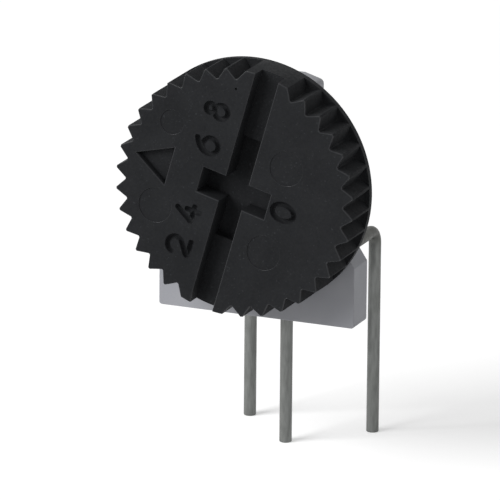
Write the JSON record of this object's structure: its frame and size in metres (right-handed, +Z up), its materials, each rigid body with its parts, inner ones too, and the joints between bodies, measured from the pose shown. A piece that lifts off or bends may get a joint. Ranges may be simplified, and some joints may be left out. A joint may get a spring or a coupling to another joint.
{
  "type": "trimming potentiometer",
  "caption": "Round single-turn cermet trimming potentiometer, upright for side adjustment, with a toothed and slotted thumbwheel and leads bent down from the rear.",
  "frame": {"origin": "centre of the housing's bottom face, which seats on the circuit board", "axes": "+Z up from the board, +Y towards the rear where the leads leave, +X to the right seen from the thumbwheel"},
  "size_m": [0.0096, 0.0081, 0.016],
  "materials": {
    "housing_plastic": "grey moulded thermoplastic, fine matte",
    "thumbwheel_plastic": "black moulded thermoplastic, fine matte",
    "alumina": "fired alumina, satin white",
    "cermet_film": "fired cermet resistor film",
    "conductor_film": "fired silver-palladium film",
    "tinned_wire": "hot-tinned copper wire, dull",
    "solder": "bright soft solder",
    "epoxy_seal": "cast epoxy, satin",
    "spring_alloy": "rolled copper-alloy spring strip",
    "brush_alloy": "drawn precious-metal brush alloy"
  },
  "bodies": {
    "base": {"housing": "housing_plastic", "ceramic_substrate": "alumina", "resistive_track": "cermet_film", "ccw_end_pad": "conductor_film", "cw_end_pad": "conductor_film", "collector_ring": "conductor_film", "lead_ccw": "tinned_wire", "lead_wiper": "tinned_wire", "lead_cw": "tinned_wire", "solder_ccw": "solder", "solder_wiper": "solder", "solder_cw": "solder", "rear_seal": "epoxy_seal"},
    "rotor": {"thumbwheel": "thumbwheel_plastic", "wiper_carrier": "spring_alloy", "track_brush": "brush_alloy", "collector_brush": "brush_alloy"}
  },
  "joints": [
    {"name": "rotor_turn", "type": "hinge", "parent": "base", "child": "rotor", "pos_m": [0, -0.0013, 0.0054], "axis": [0, 1, 0], "range_deg": [-58.3, 206.7]}
  ]
}
